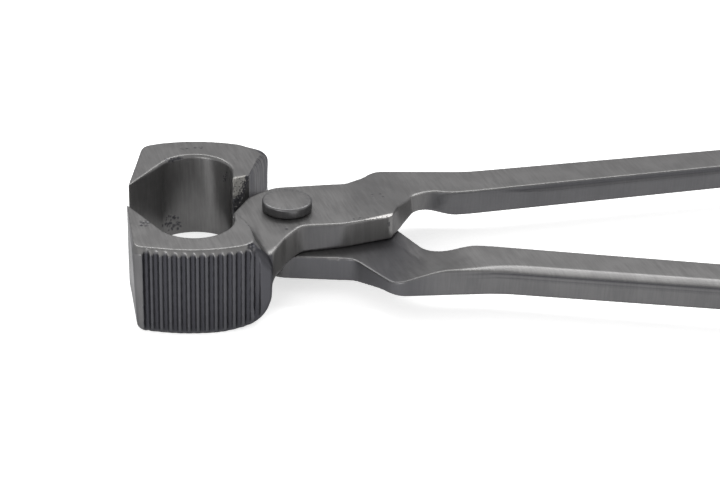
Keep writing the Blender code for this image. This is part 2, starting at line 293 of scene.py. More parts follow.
@dataclass
class JawBlock:
    """Jaw of one half: curved gripping face, throat, and the step down to the lap plate."""

    lap: LapJoint
    height: float = 0.0275
    tip: Point = (-0.0508, -0.0063)
    tip_flat: float = 0.0006
    spread: float = 0.04005
    face_lean: float = 0.00105
    face_radius: float = 0.0456
    face_centre_x: float = -0.0296
    face_end_x: float = -0.0110
    top_chamfer: float = 0.0019
    low_chamfer: float = 0.0012
    top_inset: float = 0.00140
    low_inset: float = 0.00110
    nose: Point = (-0.0482, -0.0374)
    nose_lean: float = 0.0006
    nose_reach: float = 0.0072
    nose_round: float = 0.0070
    throat: Point = (-0.0295, -0.0172)
    throat_width: float = 0.0123
    throat_depth: float = 0.0125
    throat_draft: float = 0.0
    rim_height: float = 0.0008
    rim_inset: float = 0.0005
    foot_corner: Point = (-0.0125, -0.0346)
    foot_height: float = 0.0100
    foot_face_end: float = -0.0230
    low_corner: Point = (-0.0054, -0.0360)
    low_turn: Point = (-0.0117, -0.0134)
    low_inner: Point = (-0.0170, -0.0114)
    top_corner: Point = (-0.0106, -0.0362)
    top_height: float = 0.0088
    top_bulge: float = 1.3
    top_face_end: float = -0.0165
    top_turn: Point = (-0.0130, -0.0208)
    top_inner: Point = (-0.0170, -0.0122)
    foot_corner_round: float = 0.0300
    mid_corner_round: float = 0.0030
    top_corner_round: float = 0.0100
    low_turn_round: float = 0.0015
    top_turn_round: float = 0.0045
    foot_spread: float = 0.35
    throat_start: float = math.radians(2.0)
    throat_steps: int = 36
    face_steps: int = 30
    corner_steps: int = 14
    turn_steps: int = 10
    corner_aim: float = 1.9
    foot_levels: int = 13
    plate_levels: int = 6
    step_levels: int = 12

    @property
    def top(self) -> float:
        """Half of the jaw's height."""
        return self.height / 2

    def chamfer_at(self, z: float) -> float:
        """How far the ground edges of the gripping face step in.

        Args:
            z: height from the middle plane.

        Returns:
            The inset in metres.
        """
        above = (z - self.top) / self.top_chamfer + 1.0
        below = (-z - self.top) / self.low_chamfer + 1.0
        return max(0.0, above * self.top_inset, below * self.low_inset)

    def face_y(self, x: float, inset: float = 0.0) -> float:
        """Y of the gripping face's arc.

        Args:
            x: where to read it.
            inset: how far the arc is moved into the jaw.

        Returns:
            Y of the arc at x.
        """
        centre_y = self.face_radius - self.spread
        return centre_y - math.sqrt((self.face_radius - inset) ** 2 - (x - self.face_centre_x) ** 2)

    def throat_wall(self, z: float) -> list[Point]:
        """Wall of the throat from the pivot side round to where it runs straight to the tip.

        Args:
            z: height of the section.

        Returns:
            Points of the wall in plan.
        """
        rim = self.rim_inset * max(0.0, (-z - self.top) / self.rim_height + 1.0)
        wide = self.throat_width + rim
        flat = wide / (self.throat_depth - self.throat_draft * z / self.top + rim)
        cx, cy = self.throat
        dx, dy = self.tip[0] - cx, (self.tip[1] - cy) * flat
        tangent = math.acos(wide / math.hypot(dx, dy))
        start, stop = self.throat_start, math.atan2(dy, dx) + tangent - 2 * math.pi
        angles = [mix(start, stop, i / self.throat_steps) for i in range(self.throat_steps + 1)]
        return [(cx + wide * math.cos(a), cy + wide * math.sin(a) / flat) for a in angles]

    def outline(self, z: float) -> list[Point]:
        """Plan outline of the jaw.

        Args:
            z: height of the section, from the middle plane.

        Returns:
            Points of the closed outline.
        """
        top, lap = self.top, self.lap
        rise = min(1.0, max(0.0, (z - lap.top) / (top - lap.top)))
        step = 0.0
        if z > lap.middle:
            step = 1.0 - (1.0 + self.foot_spread) * (1 - math.sqrt(1 - (1 - rise) ** 2))
        foot = quarter(-z, top, self.foot_height)
        head = max(0.0, (z - top) / self.top_height + 1.0) ** self.top_bulge
        inset = self.chamfer_at(z) + self.face_lean * z / top
        corner = mix_points(self.low_corner, self.foot_corner, foot)
        corner = mix_points(corner, self.top_corner, head)
        corner = (corner[0] - self.chamfer_at(z) * 0.5, corner[1] + inset)
        face_end = mix(mix(self.face_end_x, self.foot_face_end, foot), self.top_face_end, head)
        turn = mix_points(self.low_turn, self.top_turn, step)
        inner = mix_points(self.low_inner, self.top_inner, step)
        points = [self.tip, (self.tip[0] + self.tip_flat / 3, self.tip[1] - self.tip_flat)]
        lean = self.nose_lean * (1.0 - z / top) + self.chamfer_at(z) * 0.5
        nose = (self.nose[0] + lean, self.nose[1] + inset)
        nose_end = self.nose[0] + self.nose_reach
        after = (nose_end, self.face_y(nose_end, inset))
        points += round_corner(points[-1], nose, after, self.nose_round, self.corner_steps)
        for i in range(self.face_steps):
            x = mix(nose_end, face_end, (i + 0.5) / (self.face_steps - 0.5))
            points.append((x, self.face_y(x, inset)))
        corner_round = mix(self.mid_corner_round, self.foot_corner_round, foot)
        corner_round = mix(corner_round, self.top_corner_round, head)
        ahead = mix_points(corner, points[-1], self.corner_aim)
        turn_round = self.low_turn_round if z < lap.middle else self.top_turn_round
        points += round_corner(ahead, corner, turn, corner_round, self.corner_steps)
        points += round_corner(corner, turn, inner, turn_round, self.turn_steps)
        points.append(inner)
        return points + self.throat_wall(z)

    def levels(self) -> list[float]:
        """Heights at which the outline is drawn, closest where it turns fastest.

        Returns:
            The heights from the middle plane, lowest first.
        """
        top, lap = self.top, self.lap
        found = [self.low_chamfer - top, self.rim_height - top, 0.0, top - self.top_chamfer]
        for i in range(self.foot_levels + 1):
            turn = i * math.pi / (2 * self.foot_levels)
            found.append(self.foot_height * (1 - math.cos(turn)) - top)
        for i in range(self.plate_levels + 1):
            found.append(mix(lap.middle, lap.top - lap.gap, i / self.plate_levels))
        for i in range(self.step_levels + 1):
            turn = i * math.pi / (2 * self.step_levels)
            found.append(mix(lap.top, top, 1 - math.cos(turn)))
        return sorted({round(z, 7) for z in found})

    def build(self) -> bpy.types.Object:
        """The jaw drawn up through its outlines."""
        return draw_out("jaw", [[(x, y, z) for x, y in self.outline(z)] for z in self.levels()])


@dataclass
class GripGrooves:
    """Upright grooves of the gripping face."""

    jaw: JawBlock
    count: int = 13
    first_x: float = -0.0441
    pitch: float = 0.00277
    width: float = 0.00205
    depth: float = 0.00100
    fading: float = 1.5
    wall: tuple[Point, ...] = ((1.0, 0.0), (0.88, 0.32), (0.70, 0.64), (0.46, 0.88), (0.20, 0.98))

    def profile(self) -> list[Point]:
        """Section of one groove, its mouth on y 0 and its root towards +y."""
        half, depth = self.width / 2, self.depth
        left = [(-half * wide, depth * deep) for wide, deep in self.wall]
        right = [(-x, y) for x, y in reversed(left)]
        return left + [(0.0, depth)] + right + [(half, -depth), (-half, -depth)]

    def build(self) -> bpy.types.Object:
        """One groove drawn up as a prism, then copied along the face and joined.

        Returns:
            All the grooves as one object.
        """
        lean, top = self.jaw.face_lean, self.jaw.top
        rings = [[(x, y + lean * k, top * k) for x, y in self.profile()] for k in (-2, 0, 2)]
        model = draw_out("groove", rings)
        copies = []
        for k in range(self.count):
            x = self.first_x + k * self.pitch
            share = min(1.0, (self.count - k) / self.fading)
            copy = model.copy()
            copy.data = model.data.copy()
            bpy.context.collection.objects.link(copy)
            scale = Matrix.Diagonal((1.0, share, 1.0, 1.0))
            copy.data.transform(Matrix.Translation((x, self.jaw.face_y(x), 0.0)) @ scale)
            copies.append(copy)
        bpy.data.objects.remove(model, do_unlink=True)
        focus(copies[0])
        for copy in copies:
            copy.select_set(True)
        bpy.ops.object.join()
        return copies[0]


@dataclass
class Arm:
    """Lap plate, shoulder and rein of one half."""

    lap: LapJoint
    reach: float = 0.3046
    rein_thickness: float = 0.0088
    outer_slope: float = 0.178
    inner_slope: float = 0.196
    thinning_turn: float = math.radians(35.0)
    thin: Point = (0.0235, 0.0450)
    level: Point = (0.0435, 0.0600)
    lap_width: float = 0.0120
    lap_fade: Point = (0.0400, 0.0450)
    root_draft: float = 0.0064
    root_span: Point = (-0.0085, -0.0010)
    neck_draft: float = 0.0031
    neck_span: Point = (-0.0010, 0.0220)
    plate_draft: float = 0.0010
    wall_share: float = 0.92
    corner_draft: float = 0.0036
    corner_draft_span: Point = (0.0330, 0.0580)
    corner_draft_rise: float = 1.12
    edge_round: float = 0.0004
    roll: Point = (0.0400, 0.0750)
    shoulder: Point = (0.0600, 0.0920)
    roll_width: float = 0.0035
    roll_drop: float = 0.0013
    roll_bevel: float = 0.70
    crease_depth: float = 0.0005
    crease_height: float = 0.0012
    crease_sides: tuple[Point, ...] = ((0.0, 2.0), (1.0, 1.35), (0.3, 1.0))
    crease_root: float = 0.35
    ridge: float = 0.0003
    shoulder_drop: float = 0.0027
    shoulder_depth: float = 0.0006
    fine_end: float = 0.0800
    fine_steps: int = 150
    coarse_steps: int = 30
    end_round: float = 0.0060
    end_share: float = 0.35
    end_steps: int = 9
    roll_steps: int = 8
    outer: tuple[tuple[float, float, float], ...] = (
        (-0.0171, -0.0020, 0.0),
        (-0.0118, 0.0095, 0.006),
        (-0.0035, 0.0163, 0.009),
        (0.0202, 0.0190, 0.006),
        (0.0315, 0.0361, 0.007),
        (0.0640, 0.0353, 0.050),
    )
    inner: tuple[tuple[float, float, float], ...] = (
        (-0.0171, -0.0160, 0.0),
        (-0.0092, -0.0356, 0.0),
        (-0.0063, -0.0352, 0.002),
        (-0.0044, -0.0298, 0.006),
        (-0.0018, -0.0229, 0.006),
        (0.0036, -0.0146, 0.006),
        (0.0170, -0.0120, 0.020),
        (0.0336, -0.0060, 0.0006),
        (0.0428, 0.0120, 0.005),
        (0.0510, 0.0178, 0.008),
        (0.0640, 0.0196, 0.030),
    )

    def along(self, x: float, y: float) -> float:
        """Distance from the pivot in the direction in which the shoulder thins."""
        return x * math.cos(self.thinning_turn) + y * math.sin(self.thinning_turn)

    def top_height(self, x: float, y: float) -> float:
        """Height of the upper face at a place in plan."""
        return mix(self.lap.top, self.rein_thickness / 2, ease(self.along(x, y), *self.thin))

    def bottom_height(self, x: float, y: float) -> float:
        """Height of the lower face at a place in plan."""
        return mix(self.lap.middle, -self.rein_thickness / 2, ease(self.along(x, y), *self.level))

    def draft(self, x: float) -> float:
        """How far the inner wall leans back over its height.

        Args:
            x: place along the tool.

        Returns:
            The lean in metres.
        """
        start, end = self.corner_draft_span
        fade = ease(x, self.level[0], end)
        root = mix(self.root_draft, self.neck_draft, ease(x, *self.root_span))
        neck = mix(root, self.plate_draft, ease(x, *self.neck_span)) * (1 - fade)
        corner = self.corner_draft * ease(x, start, start * self.corner_draft_rise) * (1 - fade)
        return neck + corner

    def ring(
        self, x: float, outer_path: list[Point], inner_path: list[Point], shrink: float
    ) -> Ring:
        """Section of the arm.

        Args:
            x: place along the tool.
            outer_path: plan of the outer side.
            inner_path: plan of the inner side.
            shrink: size of the section, 1 except in the rounded end.

        Returns:
            Points from the inner top corner over the outer side and back.
        """
        outer, inner = height_at(outer_path, x), height_at(inner_path, x)
        centre = (outer + inner) / 2
        outer, inner = mix(centre, outer, shrink), mix(centre, inner, shrink)
        roll, cut = ease(x, *self.roll), ease(x, *self.shoulder)
        lean, edge = self.draft(x) * shrink, self.edge_round * shrink
        high_in = self.top_height(x, inner + lean) * shrink
        high_out = self.top_height(x, outer) * shrink
        low_in = self.bottom_height(x, inner) * shrink
        low_out = self.bottom_height(x, outer) * shrink
        width = mix(edge, self.roll_width * shrink, roll)
        fall = mix(edge, self.roll_drop * shrink, roll)
        crease = self.crease_depth * shrink * roll
        tall = self.crease_height * shrink * mix(0.3, 1.0, roll)
        ridge, drop = self.ridge * shrink * roll, mix(edge, self.shoulder_drop * shrink, cut)
        hollow, wall = self.shoulder_depth * shrink * cut, lean * self.wall_share
        points = [
            (inner + lean * (1 - cut) + edge, high_in),
            (outer - edge, high_out),
            (outer - edge * 0.3, high_out - edge * 0.3),
            (outer, high_out - edge),
        ]
        for out, up in self.crease_sides:
            points.append((outer - ridge * out, low_out + fall + up * tall))
        points.append((outer - crease, low_out + fall + tall * self.crease_root))
        for i in range(self.roll_steps + 1):
            turn = math.pi / 2 * i / self.roll_steps
            rise = mix(1 - math.sin(turn), math.cos(turn), self.roll_bevel * roll)
            points.append((outer - width * (1 - math.cos(turn)), low_out + fall * rise))
        share = min(0.5, self.lap_width / (outer - inner))
        bend = mix(inner, outer, share)
        level = self.bottom_height(x, bend) * shrink
        points += [
            (bend, mix(level, mix(low_in, low_out, share), ease(x, *self.lap_fade))),
            (inner + edge, low_in),
            (inner + edge * 0.3, low_in + edge * 0.3),
            (inner, low_in + edge),
            (inner + wall * (1 - cut), high_in - drop),
            (inner + mix(wall, hollow, cut), high_in - mix(edge * 0.9, drop * 0.62, cut)),
            (inner + mix(lean, hollow * 0.6, cut), high_in - mix(edge * 0.6, drop * 0.30, cut)),
            (inner + mix(lean + edge * 0.3, edge * 0.2, cut), high_in - edge * 0.35),
        ]
        return [(x, y, z) for y, z in points]

    def build(self) -> bpy.types.Object:
        """Plate, shoulder and rein drawn out as one bar with a rounded end.

        Returns:
            The bar's object.
        """
        paths = []
        for corners, slope in ((self.outer, self.outer_slope), (self.inner, self.inner_slope)):
            x, y, _ = corners[-1]
            end = (self.reach, y + slope * (self.reach - x), 0.0)
            paths.append(PlanPath(corners + (end,)).points())
        start, straight_end = self.outer[0][0], self.reach - self.end_round
        fine, coarse = self.fine_steps, self.coarse_steps
        stations = [mix(start, self.fine_end, i / fine) for i in range(fine + 1)]
        stations += [mix(self.fine_end, straight_end, i / coarse) for i in range(1, coarse + 1)]
        rings = [self.ring(x, *paths, 1.0) for x in stations]
        for i in range(1, self.end_steps + 1):
            turn = i * math.pi / (2 * self.end_steps)
            x = straight_end + self.end_round * math.sin(turn)
            rings.append(self.ring(x, *paths, mix(self.end_share, 1.0, math.cos(turn))))
        return draw_out("arm", rings)


@dataclass(frozen=True)
class PitField:
    """A patch of small pits left by forging scale."""

    centre: Point3
    reach: Point3
    count: int
    seed: int
    radius: float = 0.0006
    depth: float = 0.00008
    smallest: float = 0.55
    blackness: float = 2.2

    def strike(self, surface: "Surface") -> None:
        """Press the pits into a surface and blacken them.

        Args:
            surface: the surface to mark.
        """
        random = np.random.default_rng(self.seed)
        middle = np.array(self.centre)
        margin = np.array(self.reach) + 2 * self.radius
        near = np.nonzero((np.abs(surface.places - middle) < margin).all(axis=1))[0]
        if not len(near):
            LOG.info("pit field at %s meets no surface", self.centre)
            return
        local = surface.places[near]
        for _ in range(self.count):
            aim = middle + random.uniform(-1.0, 1.0, 3) * self.reach
            seat = local[np.linalg.norm(local - aim, axis=1).argmin()]
            size = self.radius * random.uniform(self.smallest, 1.0)
            share = np.clip(1.0 - np.linalg.norm(local - seat, axis=1) / size, 0.0, 1.0)
            surface.places[near] -= surface.normals[near] * (share * self.depth)[:, None]
            black = np.clip(share * self.blackness, 0.0, 1.0)
            surface.soot_and_shade[near] = np.maximum(surface.soot_and_shade[near], black)


@dataclass(frozen=True)
class FiledFlat:
    """A small bright flat filed on an edge."""

    centre: Point3
    normal: Point3
    radius: float
    shine: float = 1.0

    def cut(self, surface: "Surface") -> None:
        """Take off all that stands above the flat and brighten it.

        Args:
            surface: the surface to file.
        """
        normal = np.array(self.normal) / np.linalg.norm(self.normal)
        offset = surface.places - np.array(self.centre)
        above = offset @ normal
        chosen = (above > 0.0) & (np.linalg.norm(offset, axis=1) < self.radius)
        surface.places[chosen] -= above[chosen, None] * normal
        surface.filed[chosen] = self.shine


class Surface:
    """Places, normals and painted masks of a forging's skin."""

    def __init__(self, item: bpy.types.Object, grain: float) -> None:
        """Read a mesh.

        Args:
            item: the forging.
            grain: length of its mesh edges.
        """
        mesh = item.data
        self.mesh, self.grain = mesh, grain
        self.places = read_places(item)
        pairs = np.zeros(len(mesh.edges) * 2, np.int32)
        mesh.edges.foreach_get("vertices", pairs)
        self.pairs = pairs.reshape(-1, 2)
        normals = np.zeros(len(mesh.vertices) * 3, np.float32)
        mesh.vertex_normals.foreach_get("vector", normals)
        self.normals = normals.reshape(-1, 3).astype(float)
        self.count = np.bincount(self.pairs.ravel(), minlength=len(self.places)).clip(1)
        # black of the pits, with painted shade in creases, groove roots and on the lap
        self.soot_and_shade = np.zeros(len(self.places))
        self.filed = np.zeros(len(self.places))

    def average(self, values: np.ndarray) -> np.ndarray:
        """Mean of some values over each vertex's neighbours, one row for each vertex."""
        return spread(values, self.pairs) / self.count[:, None]

    def soften(self, values: np.ndarray, passes: int) -> np.ndarray:
        """Blur one number over the skin.

        Args:
            values: one number for each vertex.
            passes: number of blurring passes.

        Returns:
            The blurred numbers.
        """
        for _ in range(passes):
            values = 0.5 * values + 0.5 * self.average(values[:, None])[:, 0]
        return values

    def write(self) -> None:
        """Put the places back into the mesh."""
        self.mesh.vertices.foreach_set("co", self.places.ravel())
        self.mesh.update()


@dataclass(frozen=True)
class NeckBlend:
    """Balls inside which the hollow between jaw and neck is rubbed into one sweep."""

    passes: int = 60
    strength: float = 1.5
    levels: int = 10
    balls: tuple[tuple[float, float, float, float], ...] = (
        (-0.0062, -0.0320, -0.0040, 0.0050),
        (-0.0064, -0.0310, 0.0000, 0.0050),
        (-0.0080, -0.0290, 0.0085, 0.0036),
        (-0.0118, -0.0150, 0.0084, 0.0028),
        (-0.0106, -0.0190, 0.0086, 0.0034),
        (-0.0094, -0.0235, 0.0089, 0.0038),
        (-0.0082, -0.0280, 0.0093, 0.0042),
        (-0.0068, -0.0320, 0.0095, 0.0042),
        (-0.0095, -0.0345, 0.0122, 0.0034),
    )

    def rub(self, item: bpy.types.Object) -> None:
        """Smooth the skin inside the balls, most at their centres.

        Args:
            item: the forging.
        """
        places = read_places(item)
        weight = np.zeros(len(places))
        for x, y, z, radius in self.balls:
            far = np.linalg.norm(places - np.array((x, y, z)), axis=1) / radius
            weight = np.maximum(weight, np.clip(self.strength - self.strength * far, 0.0, 1.0))
        group = item.vertex_groups.new(name="neck")
        for level in range(1, self.levels + 1):
            chosen = np.nonzero(np.round(weight * self.levels) == level)[0]
            if len(chosen):
                group.add(chosen.tolist(), level / self.levels, "REPLACE")
        smoothing = {"factor": 0.5, "iterations": self.passes, "vertex_group": group.name}
        apply_modifier(item, "SMOOTH", **smoothing)
        item.vertex_groups.clear()


@dataclass(frozen=True)
class ScaledCorner:
    """Forging scale left on the short wall between the throat and the jaw's end."""

    left: float = -0.0172
    right: float = -0.0112
    front: float = -0.0150
    back: float = -0.0100
    top: float = -0.0006
    slope: float = 0.32
    facing: float = 0.05
    amount: float = 0.00022
    pitch: float = 0.0011
    blur: int = 4
    faintest: float = 0.02
    octaves: int = 3
    whole_margin: float = 0.0006
    bare_width: float = 0.0018
    bare_foot: float = 0.0060
    bare_rise: float = 0.0020

    def across(self, skin: Surface, jaw: JawBlock) -> np.ndarray:
        """X of each vertex, sheared so that the slanting right edge of the scale stands upright."""
        return skin.places[:, 0] + self.slope * (skin.places[:, 2] + jaw.top)

    def roughen(self, skin: Surface, jaw: JawBlock) -> np.ndarray:
        """Raise the scale on a skin.

        Args:
            skin: the forging's skin.
            jaw: its jaw.

        Returns:
            The scale's mask.
        """
        x, y, z = skin.places.T
        mask = (x > self.left) & (self.across(skin, jaw) < self.right) & (z < self.top)
        mask &= (y > self.front) & (y < self.back) & (skin.normals[:, 1] > self.facing)
        mask = skin.soften(mask.astype(float), self.blur)
        for index in np.nonzero(mask > self.faintest)[0]:
            place = Vector(skin.places[index]) / self.pitch
            height = noise.fractal(place, 0.6, 2.0, self.octaves)
            skin.places[index] += skin.normals[index] * (height * self.amount * mask[index])
        return mask

    def bare(self, skin: Surface, jaw: JawBlock) -> np.ndarray:
        """How much bare metal shows in the scaled corner.

        Args:
            skin: the forging's skin.
            jaw: its jaw.

        Returns:
            1 where the scale has come off, 0 where it is whole.
        """
        edge = self.right - self.whole_margin
        off = ramp(-self.across(skin, jaw), -edge, self.bare_width - edge)
        return off * ramp(-skin.places[:, 2], self.bare_foot, self.bare_foot + self.bare_rise)


@dataclass(frozen=True)
class ScoredEnd:
    """Upright grinding lines on the jaw's end wall."""

    left: float = -0.0125
    near: float = -0.0360
    far: float = -0.0135
    top: float = -0.0004
    facing: float = 0.45
    amount: float = 0.00005
    pitch: float = 0.0009
    length: float = 0.02
    octaves: int = 2

    def score(self, skin: Surface) -> np.ndarray:
        """Score the lines into a skin.

        Args:
            skin: the forging's skin.

        Returns:
            The lines' relief, 1 where there are none.
        """
        x, y, z = skin.places.T
        relief = np.ones(len(x))
        wall = (x > self.left) & (y < self.far) & (y > self.near) & (z < self.top)
        for index in np.nonzero(wall & (skin.normals[:, 0] > self.facing))[0]:
            place = Vector((y[index] / self.pitch, z[index] / self.length, 0.0))
            height = noise.fractal(place, 0.8, 2.0, self.octaves)
            skin.places[index] += skin.normals[index] * (height * self.amount)
            relief[index] = 0.5 + 0.5 * height
        return relief


@dataclass(frozen=True)
class Crease:
    """A trim crease along one side of the rein."""

    side: int
    start: float
    drop: float
    height: float
    share: float
    fade_in: float = 0.020

    def darken(self, skin: Surface, half: float) -> None:
        """Paint shade into the crease.

        Args:
            skin: the forging's skin.
            half: half of the rein's thickness.
        """
        x, _, z = skin.places.T
        along = ramp(x, self.start, self.start + self.fade_in)
        faces = np.clip(skin.normals[:, 1] * self.side * 2.0, 0.0, 1.0)
        away = (np.abs(-self.side * half - z) - self.drop) / self.height
        skin.soot_and_shade = np.maximum(skin.soot_and_shade, self.share * along * faces * np.exp(-(away**2)))


@dataclass(frozen=True)
class LapShadow:
    """Painted shadow on the lap plate's inner face, which shows where the other half leaves it bare.
    """

    knots: tuple[Point, ...] = ((0.012, 0.0), (0.026, 0.8), (0.035, 0.8), (0.044, 0.0))
    depth: float = 0.004

    def darken(self, skin: Surface) -> None:
        """Paint the shadow on a skin.

        Args:
            skin: the forging's skin.
        """
        x, _, z = skin.places.T
        # painted shadow cast by the other half on the plate's inner face
        facing = ramp(-skin.normals[:, 2], 0.5, 1.0) * ramp(z, -self.depth, 0.0)
        skin.soot_and_shade = np.maximum(skin.soot_and_shade, np.interp(x, *np.array(self.knots).T) * facing)


@dataclass(frozen=True)
class GripPaint:
    """Painted shade on the grooved gripping face and in its groove roots, and the bright rub on its
    upper chamfer.
    """

    side_margin: float = 0.6
    crest_limit: float = 1.4
    plain_limit: float = 3.0
    face_stop: float = -0.0060
    chamfer_fade: float = 0.0003
    depth_start: float = 0.0001
    depth_full: float = 0.0005
    rim: float = 0.00035
    root_start: float = 0.55
    root_full: float = 0.85
    root_shade: float = 0.6
    rub_span: Point = (-0.0465, -0.0115)
    rub_depth: float = 0.0007
    rub_rim: float = 0.0004
    rub_shine: float = 0.25

    def mask(self, skin: Surface, jaw: JawBlock, grooves: GripGrooves) -> np.ndarray:
        """Find the grooved face for its painted shade, and on the way paint shade into the groove
        roots and rub the chamfer.

        Args:
            skin: the forging's skin.
            jaw: its jaw.
            grooves: its gripping grooves.

        Returns:
            1 in a groove, less on a crest, 0 elsewhere.
        """
        x, y, z = skin.places.T
        centre_y = jaw.face_radius - jaw.spread
        inside = jaw.face_radius - np.hypot(x - jaw.face_centre_x, y - centre_y)
        inset = np.array([jaw.chamfer_at(height) for height in z])
        below = inside - inset - jaw.face_lean * z / jaw.top
        first = grooves.first_x - grooves.width * self.side_margin
        last = grooves.first_x + (grooves.count - self.side_margin) * grooves.pitch
        limit = grooves.depth * np.where(x < last, self.crest_limit, self.plain_limit)
        band = (x > first) & (x < self.face_stop) & (y < centre_y) & (below < limit)
        chamfer = jaw.top - jaw.top_chamfer
        ground = ramp(z, chamfer, chamfer + self.chamfer_fade)
        depth = ramp(below, self.depth_start, self.depth_full)
        level = (np.abs(z) < jaw.top - self.rim).astype(float)
        root = ramp(below, self.root_start * grooves.depth, self.root_full * grooves.depth)
        root *= band * (x < last) * level * (1.0 - ground)
        # painted shade in the groove roots
        skin.soot_and_shade = np.maximum(skin.soot_and_shade, root * self.root_shade)
        rub = (x > self.rub_span[0]) & (x < self.rub_span[1]) & (y < centre_y)
        rub &= (below < self.rub_depth) & (z < jaw.top - self.rub_rim)
        skin.filed = np.maximum(skin.filed, skin.soften(rub * ground * self.rub_shine, 1))
        return skin.soften(band * level * np.maximum(depth, 1.0 - ground), 1)


@dataclass
class Forging:
    """One half of the tongs, modelled in the upper half's place."""

    jaw: JawBlock
    pits: tuple[PitField, ...] = ()
    flats: tuple[FiledFlat, ...] = ()
    hole_radius: float = 0.00428
    grain: float = 0.00034
    edge_passes: int = 2
    triangles: int = 190000
    bend_gain: float = 9.0
    grip_cover: float = 0.8
    wall_facing: float = 0.2
    wall_tilt: float = 0.6
    flank_tilt: Point = (0.35, 0.80)
    neck: NeckBlend = NeckBlend()
    corner: ScaledCorner = ScaledCorner()
    end: ScoredEnd = ScoredEnd()
    grip_shade: GripPaint = GripPaint()
    lap_shadow: LapShadow = LapShadow()
    # painted shade in the rein's trim creases
    creases: tuple[Crease, ...] = (
        Crease(1, 0.048, 0.0015, 0.00040, 0.85),
        Crease(1, 0.048, 0.0028, 0.00022, 0.45),
        Crease(-1, 0.066, 0.0013, 0.00095, 0.45),
        Crease(-1, 0.066, 0.0032, 0.00030, 0.20),
    )
    # painted sheen on the inner walls, along the tool
    sheen: tuple[Point, ...] = (
        (-0.0065, 0.0),
        (-0.0040, 0.32),
        (0.0020, 0.32),
        (0.0050, 0.0),
        (0.0180, 0.0),
        (0.0210, 0.18),
        (0.0330, 0.18),
        (0.0350, 0.42),
        (0.0420, 0.42),
        (0.0500, 0.0),
    )
    # share of painted shade on the upright walls, along the tool
    flank_shade_tone: tuple[Point, ...] = (
        (-0.042, 0.42),
        (-0.034, 0.24),
        (-0.016, 0.24),
        (-0.012, 0.55),
        (-0.008, 0.55),
        (-0.004, 0.0),
        (0.002, 0.0),
        (0.006, 0.50),
        (0.0155, 0.50),
        (0.019, 0.0),
        (0.033, 0.0),
        (0.046, 0.60),
    )

    def build(self) -> bpy.types.Object:
        """Jaw, plate and rein joined, cut, rubbed down, marked by use and painted with shade and
        sheen.

        Returns:
            The forging's object.
        """
        item = self.jaw.build()
        grooves = GripGrooves(self.jaw)
        arm = Arm(self.jaw.lap)
        combine(item, grooves.build(), "DIFFERENCE")
        combine(item, arm.build(), "UNION")
        hole = {"vertices": 96, "radius": self.hole_radius, "depth": self.jaw.height}
        bpy.ops.mesh.primitive_cylinder_add(**hole)
        combine(item, bpy.context.object, "DIFFERENCE")
        apply_modifier(item, "REMESH", mode="VOXEL", voxel_size=self.grain, use_smooth_shade=True)
        apply_modifier(item, "SMOOTH", factor=0.5, iterations=self.edge_passes)
        self.neck.rub(item)
        self.wear(item, grooves, arm)
        share = self.triangles / (2 * len(item.data.polygons))
        if share < 1.0:
            apply_modifier(item, "DECIMATE", ratio=share, use_collapse_triangulate=True)
        return item

    def wear(self, item: bpy.types.Object, grooves: GripGrooves, arm: Arm) -> None:
        """Mark the skin with scale, grinding lines, pits and filed flats, and paint its masks,
        painted shade and sheen among them.

        Args:
            item: the forging.
            grooves: its gripping grooves.
            arm: its plate and rein.
        """
        skin = Surface(item, self.grain)
        scale = self.corner.roughen(skin, self.jaw)
        stria = self.end.score(skin)
        for flat in self.flats:
            flat.cut(skin)
        for pits in self.pits:
            pits.strike(skin)
        skin.write()
        for crease in self.creases:
            crease.darken(skin, arm.rein_thickness / 2)
        self.lap_shadow.darken(skin)
        bend = self.bend(skin)
        # painted shade on the grooved gripping face
        grip_shade = self.grip_shade.mask(skin, self.jaw, grooves)
        self.paint_sheen(skin)
        masks = {
            Mask.EDGE_WEAR: np.clip(bend, 0.0, 1.0) * (1.0 - self.grip_cover * grip_shade),
            # painted shade in the concave hollows, found from the bend of the skin
            Mask.HOLLOW_SHADE: np.clip(-bend, 0.0, 1.0),
            Mask.FLANK_SHADE: self.flank_shade(skin),
            Mask.GRIP: grip_shade,
            Mask.SCALE: scale,
            Mask.CRUST: self.corner.bare(skin, self.jaw),
            Mask.STRIA: stria,
            Mask.SOOT_AND_SHADE: skin.soot_and_shade,
            # filed flats and the rubbed chamfer, with painted sheen on the inner walls
            Mask.FILED_AND_SHEEN: skin.soften(skin.filed, 1),
        }
        for mask, values in masks.items():
            store(skin.mesh, mask, values)

    def bend(self, skin: Surface) -> np.ndarray:
        """How far each vertex stands above its neighbours, more than 0 on edges.

        Args:
            skin: the forging's skin.

        Returns:
            The bend, about 1 on a sharp edge and -1 in a sharp hollow.
        """
        offset = skin.average(skin.places) - skin.places
        bend = -np.einsum("ij,ij->i", offset, skin.normals) / self.grain
        return skin.soften(bend, 2) * self.bend_gain

    def paint_sheen(self, skin: Surface) -> None:
        """Paint sheen on the inner walls, a painted highlight that brightens them.

        Args:
            skin: the forging's skin.
        """
        _, across, up = skin.normals.T
        walls = (across < -self.wall_facing) & (np.abs(up) < self.wall_tilt)
        sheen = np.interp(skin.places[:, 0], *np.array(self.sheen).T) * walls
        skin.filed = np.maximum(skin.filed, sheen)

    def flank_shade(self, skin: Surface) -> np.ndarray:
        """Painted shade on the upright walls: how dark they are along the tool.

        Args:
            skin: the forging's skin.

        Returns:
            The share of painted shade, 0 on flat faces.
        """
        upright = 1.0 - ramp(np.abs(skin.normals[:, 2]), *self.flank_tilt)
        return skin.soften(upright, 1) * np.interp(skin.places[:, 0], *np.array(self.flank_shade_tone).T)


def read_places(item: bpy.types.Object) -> np.ndarray:
    """Vertex places of an object's mesh.

    Args:
        item: the object.

    Returns:
        One row of x, y and z for each vertex.
    """
    places = np.zeros(len(item.data.vertices) * 3)
    item.data.vertices.foreach_get("co", places)
    return places.reshape(-1, 3)


